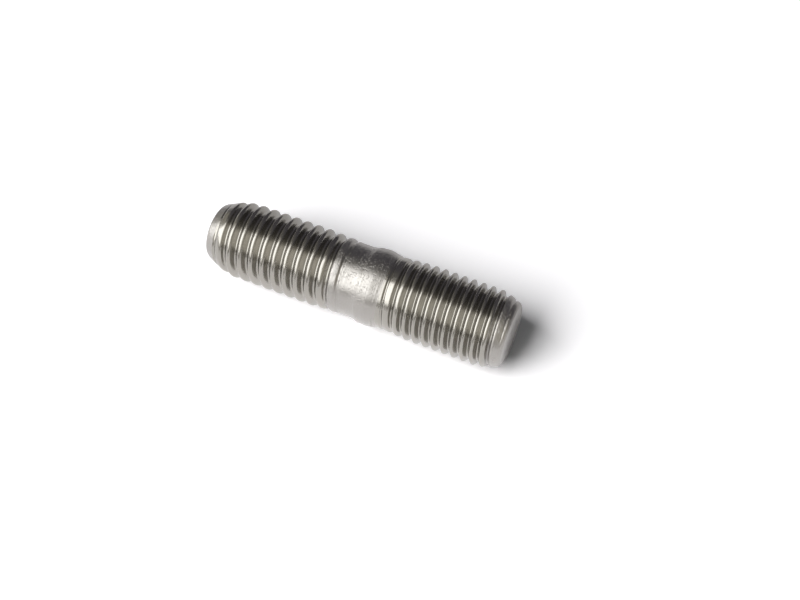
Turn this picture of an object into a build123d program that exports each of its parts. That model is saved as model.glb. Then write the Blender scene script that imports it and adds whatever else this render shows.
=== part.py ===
from build123d import *
from math import atan2, ceil, cos, degrees, radians, tan
import os

# A double-ended stud bolt, one piece of stainless steel: a bar turned down beside a low collar, with a
# coarse thread rolled on the tap end. The nut end is the turned blank of its fine thread, M8 x 1.
# It stands on the tap end: Z is the axis and Z = 0 is the face of that end. Sizes are in millimetres.

# The whole stud
stud_length = 32.0
shank_diameter = 7.4

# Tap end, M8 x 1.25 right-hand, which screws into the casting. Its crests fall away before its root rises
tap_diameter = 7.95
tap_pitch = 1.25
tap_thread_length = 14.9
tap_runout_length = 2.9
tap_crest_length = 11.3
tap_crest_fall_length = 2.6

# Nut end, M8 x 1, which starts at the foot of the collar
nut_diameter = 7.95
nut_neck_length = 0.1
nut_runout_length = 3.0

# Each end has a steep chamfer at its face, then a gentle lead up to the full diameter
tap_face_diameter = 5.8
tap_chamfer_diameter = 7.35
tap_chamfer_length = 1.7
tap_lead_length = 3.0
nut_face_diameter = 6.6
nut_chamfer_diameter = 7.5
nut_chamfer_length = 1.1
nut_lead_length = 2.3

# Collar between the threads: a land with a slope down to the shank on each side
collar_diameter = 7.95
collar_height = 17.8
collar_land_width = 1.0
collar_tap_slope_length = 0.8
collar_nut_slope_length = 1.1

# Thread section: a 60 degree groove, with flats at the crest and the root that are shares of the pitch
thread_angle = 60.0
crest_flat_share = 0.125
root_flat_share = 0.25

# How far the cutting sections run on past the steel that they cut
mouth_overcut = 0.06
runout_overcut = 0.04

# What follows from the sizes above
collar_bottom = collar_height - collar_land_width / 2
collar_top = collar_height + collar_land_width / 2
nut_thread_start = collar_top + collar_nut_slope_length + nut_neck_length
tap_runout_start = tap_thread_length - tap_runout_length
tap_flank_width = tap_pitch * (1 - crest_flat_share - root_flat_share) / 2
tap_thread_depth = tap_flank_width / tan(radians(thread_angle / 2))
tap_root_radius = tap_diameter / 2 - tap_thread_depth


def blank():
    """The turned stud before threading: ends, run-outs, shank and collar."""
    outline = Polyline(
        (0, 0),
        (tap_face_diameter / 2, 0),
        (tap_chamfer_diameter / 2, tap_chamfer_length),
        (tap_diameter / 2, tap_lead_length),
        (tap_diameter / 2, tap_crest_length),
        (shank_diameter / 2, tap_crest_length + tap_crest_fall_length),
        (shank_diameter / 2, collar_bottom - collar_tap_slope_length),
        (collar_diameter / 2, collar_bottom),
        (collar_diameter / 2, collar_top),
        (shank_diameter / 2, collar_top + collar_nut_slope_length),
        (shank_diameter / 2, nut_thread_start),
        (nut_diameter / 2, nut_thread_start + nut_runout_length),
        (nut_diameter / 2, stud_length - nut_lead_length),
        (nut_chamfer_diameter / 2, stud_length - nut_chamfer_length),
        (nut_face_diameter / 2, stud_length),
        (0, stud_length),
        close=True,
    )
    return revolve(make_face(Plane.XZ * outline), axis=Axis.Z)


def groove_section():
    """The groove's section, square to X at the root, with flanks that run on past the crest."""
    half_root = tap_pitch * root_flat_share / 2
    mouth_radius = tap_diameter / 2 + mouth_overcut
    half_mouth = half_root + (mouth_radius - tap_root_radius) * tan(radians(thread_angle / 2))
    outline = Polyline(
        (-half_root, tap_root_radius),
        (half_root, tap_root_radius),
        (half_mouth, mouth_radius),
        (-half_mouth, mouth_radius),
        close=True,
    )
    return make_face(Plane.ZX * outline)


def helical_groove(height, rise=0.0):
    """A right-hand groove that climbs from Z = 0 by height, while its root moves out by rise."""
    slope = atan2(rise, height)
    path = Helix(tap_pitch / cos(slope), height, tap_root_radius, cone_angle=degrees(slope))
    return sweep(groove_section(), path=path, is_frenet=True)


def tap_grooves():
    """The run-out, then full turns down past the end face. The groove meets Z = 0 at the +X side."""
    runout_rise = shank_diameter / 2 - tap_root_radius + runout_overcut
    runout = helical_groove(tap_runout_length, runout_rise)
    full_turn = helical_groove(tap_pitch)
    start = Pos(0, 0, tap_runout_start) * Rot(0, 0, 360 * tap_runout_start / tap_pitch)
    grooves = [start * runout]
    for turn in range(ceil(tap_runout_start / tap_pitch) + 1):
        grooves.append(start * Pos(0, 0, -(turn + 1) * tap_pitch) * full_turn)
    return grooves


def stud_bolt():
    """The finished stud, cut turn by turn."""
    stud = blank()
    for groove in tap_grooves():
        stud -= groove
    return stud


os.makedirs("parts", exist_ok=True)
export_step(stud_bolt(), "parts/stud_bolt.step")
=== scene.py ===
# %% [markdown]
# # A stud bolt on a pale table
# A stud is a bolt without a head. Its coarse tap end screws into a casting for good, and a nut goes
# on the fine end. Both threads are rolled: two hard dies press the grooves into a turned bar, so
# the crests swell up between them, round and bright. The shank between them keeps the fine lines of
# the turning tool.
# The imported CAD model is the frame. This scene gives it its full threads, its surface and its
# light.

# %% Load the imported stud
from math import cos, pi, radians, sin, tan

import bmesh
import bpy
from mathutils import Matrix, Vector


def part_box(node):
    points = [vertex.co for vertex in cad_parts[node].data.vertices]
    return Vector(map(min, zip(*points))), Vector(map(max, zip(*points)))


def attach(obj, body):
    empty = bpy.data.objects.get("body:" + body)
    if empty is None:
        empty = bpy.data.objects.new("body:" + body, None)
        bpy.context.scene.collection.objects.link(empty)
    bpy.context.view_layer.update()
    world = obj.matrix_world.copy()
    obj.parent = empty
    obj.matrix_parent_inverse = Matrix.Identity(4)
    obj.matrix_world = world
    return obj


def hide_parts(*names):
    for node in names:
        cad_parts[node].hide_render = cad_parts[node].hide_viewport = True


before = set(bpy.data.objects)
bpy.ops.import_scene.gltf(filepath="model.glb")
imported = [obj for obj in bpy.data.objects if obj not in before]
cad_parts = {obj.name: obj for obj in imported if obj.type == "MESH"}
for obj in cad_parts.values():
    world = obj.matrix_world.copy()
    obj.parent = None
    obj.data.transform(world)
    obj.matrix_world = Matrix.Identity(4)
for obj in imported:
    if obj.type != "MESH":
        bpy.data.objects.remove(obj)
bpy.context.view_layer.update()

mm = 0.001
low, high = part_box("stud_bolt")
stud_length = (high[2] - low[2]) / mm
crest_radius = (high[0] - low[0]) / 2 / mm
print("stud length", round(stud_length, 2), "mm, crest radius", round(crest_radius, 3), "mm")

# %% [markdown]
# ## The turned blank
# Before rolling, the stud is a turned bar: a chamfer at each face, a gentle lead, and a shank that
# is thinner than the crests, with a low collar on it. The outline is a line through its corners.
# A tool and a tumbling barrel leave no corner quite sharp, so each height takes the mean over a
# short length of the outline.

# %% Outline of the blank
# Corners of (height, radius) in millimetres, up from the tap face.
shank_radius = 3.70
blank_outline = [
    # Face, chamfer and lead of the tap end
    (-1.0, 2.70), (0.0, 2.80), (0.12, 2.93), (1.7, 3.66), (3.0, crest_radius),
    # Last crests of the tap thread, and shank
    (11.6, crest_radius), (12.6, 3.90), (14.2, 3.81), (15.1, shank_radius), (16.2, shank_radius),
    # Collar
    (16.6, 3.77), (17.1, 3.935), (18.1, crest_radius), (19.2, shank_radius + 0.04),
    # Rise to the full crests of the nut thread, then its lead, chamfer and face
    (20.0, shank_radius + 0.06), (22.3, crest_radius), (29.6, crest_radius),
    (30.4, 3.84), (31.1, 3.56), (31.85, 3.22), (32.0, 3.02), (33.0, 2.70),
]


def along(line, place):
    """The value at one place on a line through (place, value) corners."""
    if place <= line[0][0]:
        return line[0][1]
    for (place0, value0), (place1, value1) in zip(line, line[1:]):
        if place <= place1:
            return value0 + (value1 - value0) * (place - place0) / (place1 - place0)
    return line[-1][1]


print("blank outline:", len(blank_outline), "corners")

# %% Corners of the blank, eased
# The mean reaches this far up and down, least at the two faces, whose edges stay crisp.
least_ease, widest_ease, ease_growth = 0.04, 0.12, 0.2
ease_steps = [-1.0, -0.6, -0.2, 0.2, 0.6, 1.0]


def blank_radius(height):
    """The blank's radius with its corners eased."""
    from_face = min(abs(height), abs(stud_length - height))
    ease = min(widest_ease, least_ease + ease_growth * from_face)
    return sum(along(blank_outline, height + ease * step) for step in ease_steps) / len(ease_steps)


for part, height in {"lead": 1.5, "shank": 15.0, "collar": 17.8}.items():
    print("blank radius at the", part, round(blank_radius(height), 3), "mm")

# %% [markdown]
# ## Two rolled threads on one strip
# A thread is a groove wound round the bar. So the skin of the stud is one long strip, as wide as
# one pitch, wound round and joined to itself along its edges. Each row of the strip keeps its place
# in the groove all the way along, so crests stay clean lines. The strip climbs 1.25 mm a turn up to
# turn 12, on the tap end, and 1 mm a turn from turn 15.5, on the nut end. One stretch under the
# collar joins the two, where there is no groove. The solid has no nut thread of its own: a fine
# thread needs many facets, so it is left to this strip.
# A thread could also be cut from the bar turn by turn, but the cut edges would show as kinks in
# the shine.

# %% Strip sizes
tap_pitch, nut_pitch = 1.25, 1.0
# The strip starts below the tap face and ends above the nut face.
first_turn, last_turn = -2, 30
coarse_turns, fine_turns = 12, 15.5
steps_per_turn = 96
# The height at which the nut thread would have its turn 0.
nut_thread_foot = 3.8
# Corners of (turn, height) along the strip.
strip_line = [
    (first_turn, tap_pitch * first_turn),
    (coarse_turns, tap_pitch * coarse_turns),
    (fine_turns, nut_thread_foot + nut_pitch * fine_turns),
    (last_turn + 1, nut_thread_foot + nut_pitch * (last_turn + 1)),
]
# Shares of the pitch from the middle of the groove, closest together at the root and the crest.
half_rows = [0.0, 0.025, 0.05, 0.08, 0.115, 0.16, 0.22, 0.28, 0.33, 0.37, 0.40, 0.43, 0.455, 0.48]
rows = half_rows + [0.5] + [1 - row for row in reversed(half_rows)]
print("strip:", last_turn - first_turn, "turns,", len(rows), "rows")

# %% [markdown]
# ## The section of a rolled thread
# The flanks of a metric thread meet at 60 degrees. A rolling die has a rounded nose, which leaves a
# round root, and the steel that it pushes aside rises into a round crest. Arcs between straight
# flanks give both. At its two ends the groove gets shallower until it leaves the bar, which the
# floor below describes.

# %% Depth of the threads
tap_root, nut_root = 3.35, 3.42
# Corners of (height, radius) of the groove's floor.
groove_floor = [
    # Start of the tap thread, its full depth and its run-out
    (0.5, 3.40), (1.0, 3.26), (2.0, tap_root), (12.9, tap_root), (14.0, 3.46), (15.2, 3.70),
    # No groove on the collar
    (15.4, 4.2), (18.6, 4.2),
    # Run-out of the nut thread, its full depth and its start
    (18.8, 3.70), (19.6, 3.62), (20.4, 3.50), (21.6, nut_root), (29.8, nut_root), (31.2, 3.30),
]
print("depths:", [round(crest_radius - root, 2) for root in (tap_root, nut_root)], "mm")

# %% Section of the threads
# Each flank leans this far from the stud's axis, so that the two flanks of a groove meet at 60
# degrees.
flank_angle = radians(60)
flank_slope = tan(flank_angle)
# Half the width of the flat at the root, before it is rounded.
tap_root_half_flat, nut_root_half_flat = 0.11, 0.07
# The largest radius of a crest, and the least half width that a crest has before it is rounded.
widest_crest_round = 0.40
least_crest_corner = 0.01


def bend(distance, round_radius):
    """How far a flank has left the flat, at a distance past the start of their rounded corner."""
    if distance <= 0:
        return 0.0
    if distance < round_radius * sin(flank_angle):
        return round_radius - (round_radius**2 - distance**2) ** 0.5
    return distance * flank_slope - round_radius


def thread_radius(height, share, pitch, half_flat):
    """Radius of the skin, for a share of the pitch from the middle of the groove."""
    floor, blank = along(groove_floor, height), blank_radius(height)
    depth = blank - floor
    if depth <= 0:
        return blank
    from_middle = min(share, 1 - share) * pitch
    from_crest = pitch / 2 - from_middle
    crest_corner = max(pitch / 2 - half_flat - depth / flank_slope, least_crest_corner)
    crest_round = min(crest_corner * flank_slope, widest_crest_round, depth)
    root_round = min(half_flat * flank_slope, depth)
    # The crest's arc ends where the flank starts. Below it the flank leads to the root's arc.
    if from_crest < crest_corner + crest_round * (sin(flank_angle) - 1 / flank_slope):
        return blank - bend(from_crest - crest_corner + crest_round / flank_slope, crest_round)
    return floor + bend(from_middle - half_flat + root_round / flank_slope, root_round)


for part, share in {"root": 0.0, "crest": 0.5}.items():
    radius = thread_radius(6.0, share, tap_pitch, tap_root_half_flat)
    print("tap thread's", part, "radius", round(radius, 3), "mm")

# %% Wind the strip
# Points closer than this are joined, which closes the seam between one turn and the next.
weld_distance = 0.004
skin = bmesh.new()
columns = (last_turn - first_turn) * steps_per_turn
bmesh.ops.create_grid(skin, x_segments=columns, y_segments=len(rows) - 1, size=0.5)
for vert in skin.verts:
    column = round((vert.co.x + 0.5) * columns)
    row = rows[round((vert.co.y + 0.5) * (len(rows) - 1))]
    turns = first_turn + column / steps_per_turn
    height = along(strip_line, turns + row)
    if turns + row < (coarse_turns + fine_turns) / 2:
        radius = thread_radius(height, row, tap_pitch, tap_root_half_flat)
    else:
        radius = thread_radius(height, row, nut_pitch, nut_root_half_flat)
    angle = 2 * pi * turns
    vert.co = Vector((radius * cos(angle), radius * sin(angle), height)) * mm
bmesh.ops.remove_doubles(skin, verts=skin.verts, dist=weld_distance * mm)
print("wound strip:", len(skin.faces), "faces")

# %% [markdown]
# ## The two end faces
# The strip runs past both ends. A plane cuts it off at each end, as a facing tool does, and the
# hole that is left is filled with one flat face.

# %% Face both ends
# Points within this distance of a plane, in metres, count as on it.
cut_tolerance = 1e-7
for height, outward in ((0.0, -1), (stud_length, 1)):
    bmesh.ops.bisect_plane(
        skin, geom=skin.verts[:] + skin.edges[:] + skin.faces[:], dist=cut_tolerance,
        plane_co=(0, 0, height * mm), plane_no=(0, 0, outward), clear_outer=True,
    )
rims = [edge for edge in skin.edges if edge.is_boundary]
bmesh.ops.holes_fill(skin, edges=rims, sides=0)
bmesh.ops.recalc_face_normals(skin, faces=skin.faces)
print("faces with both ends:", len(skin.faces))

# %% The stud as one piece
# Edges that bend more than this, in degrees, stay sharp: rims, and the places where grooves begin.
sharp_angle = 50.0
mesh = bpy.data.meshes.new("rolled_stud")
skin.to_mesh(mesh)
skin.free()
mesh.shade_smooth()
mesh.set_sharp_from_angle(angle=radians(sharp_angle))
stud = bpy.data.objects.new("rolled_stud", mesh)
bpy.context.scene.collection.objects.link(stud)
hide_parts("stud_bolt")
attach(stud, "root")
print("stud:", [round(size / mm, 2) for size in stud.dimensions], "mm")

# %% [markdown]
# ## Colours and nodes
# A colour is written as a hex code, as a paint chart gives it, and turned into linear light here.
# One helper adds a node of any kind, so that a material reads as a list of what it is made of.

# %% Colour and node helpers


def linear(hex_colour):
    """A hex colour as linear red, green and blue, by the sRGB curve."""
    parts = [int(hex_colour[i:i + 2], 16) / 255 for i in (1, 3, 5)]
    return tuple(c / 12.92 if c <= 0.04045 else ((c + 0.055) / 1.055) ** 2.4 for c in parts)


def add(tree, kind, inputs=(), **settings):
    """A new node with its settings, and its inputs set to values or linked to sockets."""
    node = tree.nodes.new(kind)
    for name, value in settings.items():
        setattr(node, name, value)
    for name, value in dict(inputs).items():
        if isinstance(value, bpy.types.NodeSocket):
            tree.links.new(value, node.inputs[name])
        else:
            node.inputs[name].default_value = value
    return node


def new_material(name):
    """An empty material and its node tree, with the output node."""
    material = bpy.data.materials.new(name)
    material.use_nodes = True
    material.node_tree.nodes.clear()
    return material, material.node_tree, add(material.node_tree, "ShaderNodeOutputMaterial")


print("white is", linear("#ffffff"))

# %% [markdown]
# ## Stainless steel
# The stud is austenitic stainless steel, a warm grey metal with no coating. Three ways of making
# leave three surfaces. A rolling die burnishes the thread almost smooth. A turning tool leaves
# rings round the shank, the collar and the chamfers, with small pits where it tore the steel. A
# facing tool leaves the ends duller. All three get their rings and pits as relief, not as colour,
# because the eye sees them only by the way they break up a reflection.

# %% Relief of the steel
# Real tool rings and pits are a few hundredths of a millimetre wide, too fine to show at this
# distance. They are drawn as coarse as they need to be to show.
ring_width, pit_width, patch_width = 0.35, 0.22, 1.2
# A pit goes from its floor to its rim where the noise rises from the first level to the second.
pit_floor, pit_rim = 0.34, 0.44
roughness_change = 0.08


def noise(tree, place, width, detail, fineness):
    """Noise with lumps of about this width in millimetres."""
    return add(
        tree, "ShaderNodeTexNoise",
        {"Vector": place, "Scale": 1 / (width * mm), "Detail": detail, "Roughness": fineness},
    ).outputs[0]


def tool_rings(tree, place, depth):
    """Relief of the rings that a tool leaves round the axis: it changes with radius and height."""
    split = add(tree, "ShaderNodeSeparateXYZ", {"Vector": place})
    flat = add(tree, "ShaderNodeCombineXYZ", {"X": split.outputs["X"], "Y": split.outputs["Y"]})
    radius = add(tree, "ShaderNodeVectorMath", {0: flat.outputs[0]}, operation="LENGTH")
    section = add(
        tree, "ShaderNodeCombineXYZ", {"X": radius.outputs["Value"], "Z": split.outputs["Z"]}
    )
    rings = noise(tree, section.outputs[0], ring_width, detail=4.0, fineness=0.7)
    return add(tree, "ShaderNodeBump", {"Height": rings, "Distance": depth * mm}).outputs[0]


def torn_pits(tree, place, depth, surface):
    """Relief of small scattered pits, added to the relief of a surface."""
    pits = add(
        tree, "ShaderNodeMapRange",
        {
            "Value": noise(tree, place, pit_width, detail=2.0, fineness=0.6),
            "From Min": pit_floor, "From Max": pit_rim, "To Min": -1.0, "To Max": 0.0,
        },
    )
    return add(
        tree, "ShaderNodeBump",
        {"Height": pits.outputs[0], "Distance": depth * mm, "Normal": surface},
    ).outputs[0]


print("rings", ring_width, "mm wide, pits", pit_width, "mm wide")

# %% The three surfaces of the stud


def steel(name, colour, roughness, ring_depth, pit_depth):
    """Stainless steel with fine rings round the axis and small pits, in depths of millimetres."""
    material, tree, output = new_material(name)
    place = add(tree, "ShaderNodeTexCoord").outputs["Object"]
    relief = torn_pits(tree, place, pit_depth, tool_rings(tree, place, ring_depth))
    duller = add(
        tree, "ShaderNodeMapRange",
        {
            "Value": noise(tree, place, patch_width, detail=4.0, fineness=0.5),
            "To Min": roughness - roughness_change, "To Max": roughness + roughness_change,
        },
    )
    metal = add(
        tree, "ShaderNodeBsdfPrincipled",
        {
            "Base Color": (*linear(colour), 1.0), "Metallic": 1.0,
            "Roughness": duller.outputs[0], "Normal": relief,
        },
    )
    tree.links.new(metal.outputs[0], output.inputs["Surface"])
    return material


# Rolled between hardened dies, which press it smooth: sharp bright lines along crests and roots.
rolled = steel(
    "stainless_steel_rolled_thread", "#908d86", roughness=0.24, ring_depth=0.002, pit_depth=0.002
)
# Turned with a pointed tool: softer reflections, crossed by rings, with a few torn pits.
turned = steel(
    "stainless_steel_turned", "#94918c", roughness=0.30, ring_depth=0.060, pit_depth=0.018
)
# Faced with the edge of the tool and tumbled after: a dull, even grey.
faced = steel(
    "stainless_steel_faced_end", "#a9a7a3", roughness=0.45, ring_depth=0.008, pit_depth=0.006
)
surfaces = [rolled, turned, faced]
print("surfaces:", [material.name for material in surfaces])

# %% Where each surface goes
# Turned stretches, as heights in millimetres: below the tap thread, from its run-out past the
# collar, and above the nut thread.
turned_stretches = [(-1.0, 0.9), (13.6, 19.2), (30.6, 33.0)]
# A face that points this much up or down belongs to an end.
end_face_tilt = 0.99
for material in surfaces:
    mesh.materials.append(material)
for face in mesh.polygons:
    height = face.center.z / mm
    if abs(face.normal.z) > end_face_tilt:
        surface = faced
    elif any(bottom < height < top for bottom, top in turned_stretches):
        surface = turned
    else:
        surface = rolled
    face.material_index = surfaces.index(surface)
for index, material in enumerate(surfaces):
    print(material.name, sum(face.material_index == index for face in mesh.polygons), "faces")

# %% [markdown]
# ## The table
# The stud lies on a white laminate table. Its side rests on the board, so the board is a plane that
# touches the crests. The part itself stands upright in its own frame, so the table, the light and
# the camera are turned round it instead. Angles go round the stud's axis, from above the picture
# toward the camera.

# %% Angles round the stud
middle = stud_length / 2 * mm
stud_middle = Vector((0, 0, middle))
# The whole stage is turned about the axis, to see the threads at the place where they meet the
# outline.
stage_turn = 29.0


def around(angle, distance, along_axis=0.0):
    """A point near the stud, by its angle from above the picture toward the camera, in metres."""
    turn = radians(angle + stage_turn)
    return Vector((-distance * cos(turn), -distance * sin(turn), middle + along_axis))


def direction(angle):
    """The direction away from the stud's axis at an angle."""
    return (around(angle, 1.0) - around(angle, 0.0)).normalized()


print("toward the camera:", [round(x, 2) for x in direction(90)])

# %% Table
table_angle = 57.25
table_size = 4.0
up_from_table = direction(table_angle)


def flat_card(name, size, centre, facing):
    """A flat square card that faces a direction square to the stud's axis."""
    plan = bmesh.new()
    bmesh.ops.create_grid(plan, x_segments=1, y_segments=1, size=0.5)
    across = Vector((0, 0, 1)).cross(facing)
    turn = Matrix((across, Vector((0, 0, 1)), -facing)).transposed()
    for vert in plan.verts:
        vert.co = centre + turn @ Vector((vert.co.x * size, vert.co.y * size, 0))
    card_mesh = bpy.data.meshes.new(name)
    plan.to_mesh(card_mesh)
    plan.free()
    card = bpy.data.objects.new(name, card_mesh)
    bpy.context.scene.collection.objects.link(card)
    return card


table = flat_card(
    "table", table_size, stud_middle - up_from_table * crest_radius * mm, up_from_table
)
print("table:", [round(size, 2) for size in table.dimensions], "m")

# %% [markdown]
# ## The laminate
# White melamine laminate is pressed smooth and matt. It lies in full window light, so to the eye
# it is brighter than white and keeps only the stud's shadow, where a slight blue in its colour
# shows as painted bluish shade. In the steel the near half, toward the window, has painted light
# that makes it brighter still, and the half behind the stud, away from the window, has painted
# shade that makes it dimmer. Seen from below the board is clear.

# %% Laminate of the table
white, tree, output = new_material("white_laminate_table")
rays = add(tree, "ShaderNodeLightPath")


def matt(colour):
    """The matt surface of the laminate in one linear colour."""
    return add(tree, "ShaderNodeBsdfDiffuse", {"Color": (*colour, 1.0)}).outputs[0]


def mix(share, first, second):
    """The first surface where the share is 0, and the second where it is 1."""
    return add(tree, "ShaderNodeMixShader", {0: share, 1: first, 2: second}).outputs[0]


board = matt(linear("#e6e7ea"))
# To the camera the board is brighter than white. The slight blue in this colour, and in the two
# below, shows only in the stud's shadow, as painted bluish shade.
in_view_painted_blue_shade = matt((1.30, 1.31, 1.34))
# Seen in the steel: the near half of the table with painted light, the far half with painted shade.
painted_light_near_in_steel = matt((1.62, 1.64, 1.71))
painted_shade_far_in_steel = matt((0.95, 0.95, 0.98))
# The painted light of the near half fades into the painted shade of the far half under the stud,
# over this distance to each side of it.
half_fade = 5 * mm
place = add(tree, "ShaderNodeTexCoord").outputs["Object"]
toward_front = direction(table_angle + 90)
across = add(
    tree, "ShaderNodeVectorMath", {0: place, 1: toward_front}, operation="DOT_PRODUCT"
)
painted_light_share = add(
    tree, "ShaderNodeMapRange",
    {"Value": across.outputs["Value"], "From Min": -half_fade, "From Max": half_fade},
)
painted_light_and_shade_in_steel = mix(painted_light_share.outputs[0], painted_shade_far_in_steel, painted_light_near_in_steel)
viewed = mix(rays.outputs["Is Camera Ray"], board, in_view_painted_blue_shade)
seen = mix(rays.outputs["Is Glossy Ray"], viewed, painted_light_and_shade_in_steel)
below = add(tree, "ShaderNodeNewGeometry").outputs["Backfacing"]
clear = add(tree, "ShaderNodeBsdfTransparent").outputs[0]
tree.links.new(mix(below, seen, clear), output.inputs["Surface"])
table.data.materials.append(white)
print("laminate on", table.name)

# %% [markdown]
# ## What the steel reflects
# Bare steel has almost no colour of its own: it shows the room. Here the room is a set of curved
# panels, each of one tone, at the angles where the steel would find them: a dark room behind the
# stud, a tall bright window above and in front of it, and a darker gap where a person stands over
# the table. Only the steel sees the panels, so they throw no light on the table.

# %% A panel that the steel reflects
panel_radius = 0.6
panel_steps = 24


def panel(name, from_angle, to_angle, from_slant, to_slant, colour, strength):
    """A curved panel of one tone, which only the steel sees. Slants are toward the nut end."""
    sheet = bmesh.new()
    foot, top = [
        sheet.verts.new(around(from_angle, panel_radius, panel_radius * tan(radians(slant))))
        for slant in (from_slant, to_slant)
    ]
    edge = sheet.edges.new((foot, top))
    bmesh.ops.spin(
        sheet, geom=[foot, top, edge], cent=stud_middle, axis=(0, 0, 1),
        angle=radians(to_angle - from_angle), steps=panel_steps,
    )
    panel_mesh = bpy.data.meshes.new(name)
    sheet.to_mesh(panel_mesh)
    sheet.free()
    material, tree, output = new_material(name)
    tone = add(
        tree, "ShaderNodeEmission", {"Color": (*linear(colour), 1.0), "Strength": strength}
    )
    tree.links.new(tone.outputs[0], output.inputs["Surface"])
    panel_mesh.materials.append(material)
    thing = bpy.data.objects.new(name, panel_mesh)
    thing.visible_camera = False
    thing.visible_diffuse = False
    thing.visible_shadow = False
    bpy.context.scene.collection.objects.link(thing)
    return thing


print("panels stand", panel_radius, "m from the stud")

# %% The room in panels
# Name, angles round the stud, slants toward the nut end, colour and strength.
room_panels = [
    panel("dark_wall", -34, 25, -55, 80, "#67656d", 1.0),
    panel("dark_tap_wall", -34, 60, -80, -55, "#a5a29a", 1.5),
    panel("dusk_edge", 25, 52, -55, 80, "#7a7877", 1.0),
    panel("window_edge", 52, 62, -55, 80, "#b0aca6", 1.4),
    panel("window", 62, 130, -84, -17, "#fcfdff", 4.2),
    panel("window_middle", 62, 130, -17, -4, "#fcfdff", 3.0),
    panel("window_side", 62, 130, -4, 15, "#fcfdff", 3.1),
    panel("nut_side_wall", 62, 130, 15, 80, "#e6e1d5", 1.0),
    panel("near_gap", 130, 147, -80, 80, "#b6b3af", 1.0),
]
print("panels:", len(room_panels))

# %% [markdown]
# ## Light
# One large soft window lights the table from the camera's side and casts the stud's shadow away
# from it, beyond the nut end. Its level is plain: a white board renders as white. The world adds a
# little light from everywhere else, so that the shadow doesn't go black.

# %% Window light


def softbox(name, colour, power, from_angle, to_angle, distance, length, shift):
    """An area lamp that fills the angles given, seen from the stud. The steel doesn't see it."""
    angle = (from_angle + to_angle) / 2
    lamp = bpy.data.lights.new(name, "AREA")
    lamp.shape = "RECTANGLE"
    lamp.size = length
    lamp.size_y = 2 * distance * tan(radians((to_angle - from_angle) / 2))
    lamp.energy = power
    lamp.color = linear(colour)
    thing = bpy.data.objects.new(name, lamp)
    place = around(angle, distance, shift)
    facing = (stud_middle - place).normalized()
    across = facing.cross(Vector((0, 0, 1))).normalized()
    turn = Matrix((across.cross(facing), across, -facing)).transposed()
    thing.matrix_world = Matrix.Translation(place) @ turn.to_4x4()
    thing.visible_glossy = False
    bpy.context.scene.collection.objects.link(thing)
    return thing


# The power is in watts and the lengths in metres, with the shift toward the nut end.
window_light = softbox(
    "window_light", "#fffdfc", power=26.0, from_angle=70.0, to_angle=122.0,
    distance=1.2, length=0.95, shift=-0.60,
)
print("window light:", window_light.data.energy, "W")

# %% Light of the room
# The world lights the scene at this level, and is plain white to the camera and in the steel.
room_level = 0.075
world = bpy.data.worlds.new("room")
world.use_nodes = True
bpy.context.scene.world = world
sky = world.node_tree
sky.nodes.clear()
sky_rays = add(sky, "ShaderNodeLightPath")
is_sight = sky_rays.outputs["Is Camera Ray"]
for kind in ("Is Glossy Ray", "Is Transmission Ray"):
    is_sight = add(
        sky, "ShaderNodeMath", {0: is_sight, 1: sky_rays.outputs[kind]}, operation="MAXIMUM"
    ).outputs[0]
level = add(sky, "ShaderNodeMapRange", {"Value": is_sight, "To Min": room_level, "To Max": 1.0})
room = add(sky, "ShaderNodeBackground", {"Color": (1, 1, 1, 1), "Strength": level.outputs[0]})
add(sky, "ShaderNodeOutputWorld", {"Surface": room.outputs[0]})
print("world:", world.name)

# %% [markdown]
# ## Camera
# The camera looks down at the table from the nut end's side, 11 cm away, with the stud running from
# the upper left to the lower right. It takes the same turn about the axis as the rest of the stage.

# %% Camera
# Its place in millimetres before the stage turns, then its dip toward the tap end and its roll.
camera_place = Vector((0.41, -103.9, 45.15))
camera_dip, camera_roll = 13.38, 109.79
camera = bpy.data.objects.new("camera", bpy.data.cameras.new("camera"))
camera.data.lens = 48.6
camera.data.sensor_width = 36.0
camera.data.clip_start = 0.005
camera.matrix_world = (
    Matrix.Rotation(radians(stage_turn), 4, "Z")
    @ Matrix.Translation(camera_place * mm)
    @ Matrix.Rotation(radians(90 - camera_dip), 4, "X")
    @ Matrix.Rotation(radians(camera_roll), 4, "Z")
)
bpy.context.scene.collection.objects.link(camera)
bpy.context.scene.camera = camera
bpy.context.scene.view_settings.view_transform = "Standard"
print("camera at", [round(x, 4) for x in camera.matrix_world.translation], "m")
